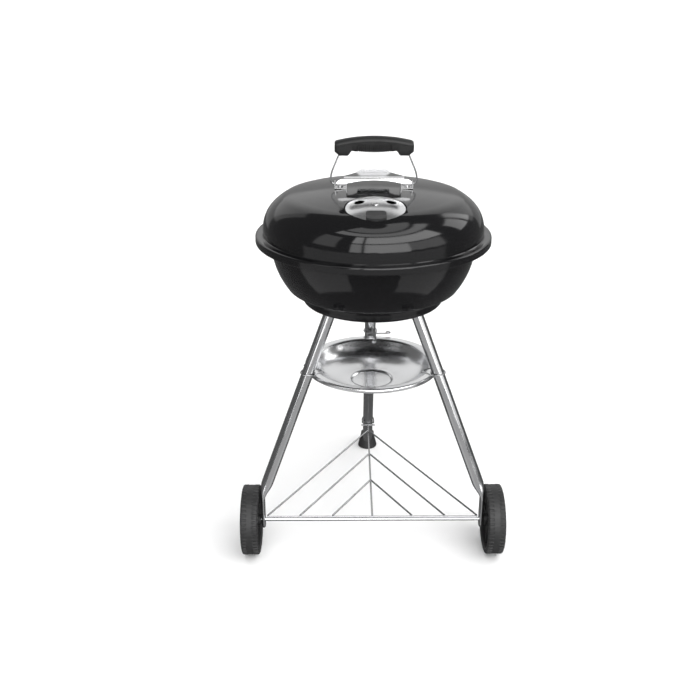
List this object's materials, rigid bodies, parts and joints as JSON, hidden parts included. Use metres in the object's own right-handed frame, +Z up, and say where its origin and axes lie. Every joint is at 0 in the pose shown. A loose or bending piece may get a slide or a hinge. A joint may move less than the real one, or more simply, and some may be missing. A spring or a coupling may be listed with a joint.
{
  "type": "kettle charcoal grill",
  "caption": "Round kettle charcoal grill: domed lid with bail handle and damper, stepped bowl on splayed tube legs, wheels, ash pan and wire shelf.",
  "frame": {"origin": "middle of the footprint on the ground, on the grill's left-right middle plane; the kettle's own axis is 56.75 mm in front of it", "axes": "+Z up, +Y towards the single rear leg, +X towards the right wheel seen from the front; the wheels are at the front, -Y"},
  "size_m": [0.5748, 0.6035, 0.889],
  "materials": {
    "enamel": "gloss black porcelain enamel",
    "dark_steel": "black enamel",
    "chrome": "bright plated tube",
    "chrome_rod": "bright plated rod",
    "chrome_wire": "bright plated wire",
    "plated_grate": "plated wire",
    "grate_steel": "plain steel rod",
    "zinc": "zinc plated",
    "polished_steel": "polished",
    "aluminium": "polished, fine brushing",
    "black_plastic": "satin moulded",
    "grip_plastic": "matte glass-filled nylon",
    "wheel_plastic": "matte moulded"
  },
  "bodies": {
    "stand": {"bowl": "enamel", "leg_socket_left": "dark_steel", "leg_socket_right": "dark_steel", "leg_socket_rear": "dark_steel", "front_left_leg": "chrome", "front_right_leg": "chrome", "rear_leg": "chrome", "leg_screws": "zinc", "rear_foot": "black_plastic", "axle": "chrome_rod", "axle_push_caps": "zinc", "wire_shelf": "chrome_wire", "shelf_hook": "chrome_wire", "pan_clip_left": "chrome_wire", "pan_clip_right": "chrome_wire", "pan_clip_rear": "chrome_wire", "bowl_damper_rivets": "zinc", "grate_brackets": "dark_steel", "charcoal_grate": "grate_steel", "cooking_grate": "plated_grate", "grate_handles": "plated_grate"},
    "lid_assembly": {"lid": "enamel", "lid_damper_rivet": "zinc", "handle_bracket": "zinc", "handle_bolts": "zinc", "handle_nuts": "zinc", "handle_heat_shield": "polished_steel", "badge_plate": "aluminium", "bail_wire": "chrome_wire", "handle_grip": "grip_plastic"},
    "lid_damper_assembly": {"lid_damper": "aluminium", "lid_damper_tab": "black_plastic"},
    "left_wheel_assembly": {"left_wheel": "wheel_plastic", "left_hub_cap": "black_plastic"},
    "right_wheel_assembly": {"right_wheel": "wheel_plastic", "right_hub_cap": "black_plastic"},
    "pan": {"ash_pan": "aluminium"},
    "bowl_damper_front_body": {"bowl_damper_front": "aluminium"},
    "bowl_damper_left_body": {"bowl_damper_left": "aluminium"},
    "bowl_damper_right_body": {"bowl_damper_right": "aluminium"}
  },
  "joints": [
    {"name": "lid_lift", "type": "slide", "parent": "stand", "child": "lid_assembly", "axis": [0, 0, 1], "range_m": [0, 0.25]},
    {"name": "lid_damper_turn", "type": "hinge", "parent": "lid_assembly", "child": "lid_damper_assembly", "pos_m": [0, -0.18775, 0.7823], "axis": [0, -0.1616, 0.9869], "range_deg": [-60, 60]},
    {"name": "left_wheel_spin", "type": "hinge", "parent": "stand", "child": "left_wheel_assembly", "pos_m": [-0.2654, -0.19475, 0.076], "axis": [1, 0, 0], "continuous": true},
    {"name": "right_wheel_spin", "type": "hinge", "parent": "stand", "child": "right_wheel_assembly", "pos_m": [0.2654, -0.19475, 0.076], "axis": [1, 0, 0], "continuous": true},
    {"name": "pan_drop", "type": "slide", "parent": "stand", "child": "pan", "axis": [0, 0, -1], "range_m": [0, 0.1]},
    {"name": "bowl_damper_front_turn", "type": "hinge", "parent": "stand", "child": "bowl_damper_front_body", "pos_m": [0, -0.13475, 0.5435], "axis": [0, 0, 1], "range_deg": [-60, 60]},
    {"name": "bowl_damper_right_turn", "type": "hinge", "parent": "stand", "child": "bowl_damper_right_body", "pos_m": [0.06755, -0.01775, 0.5435], "axis": [0, 0, 1], "range_deg": [-60, 60]},
    {"name": "bowl_damper_left_turn", "type": "hinge", "parent": "stand", "child": "bowl_damper_left_body", "pos_m": [-0.06755, -0.01775, 0.5435], "axis": [0, 0, 1], "range_deg": [-60, 60]}
  ]
}
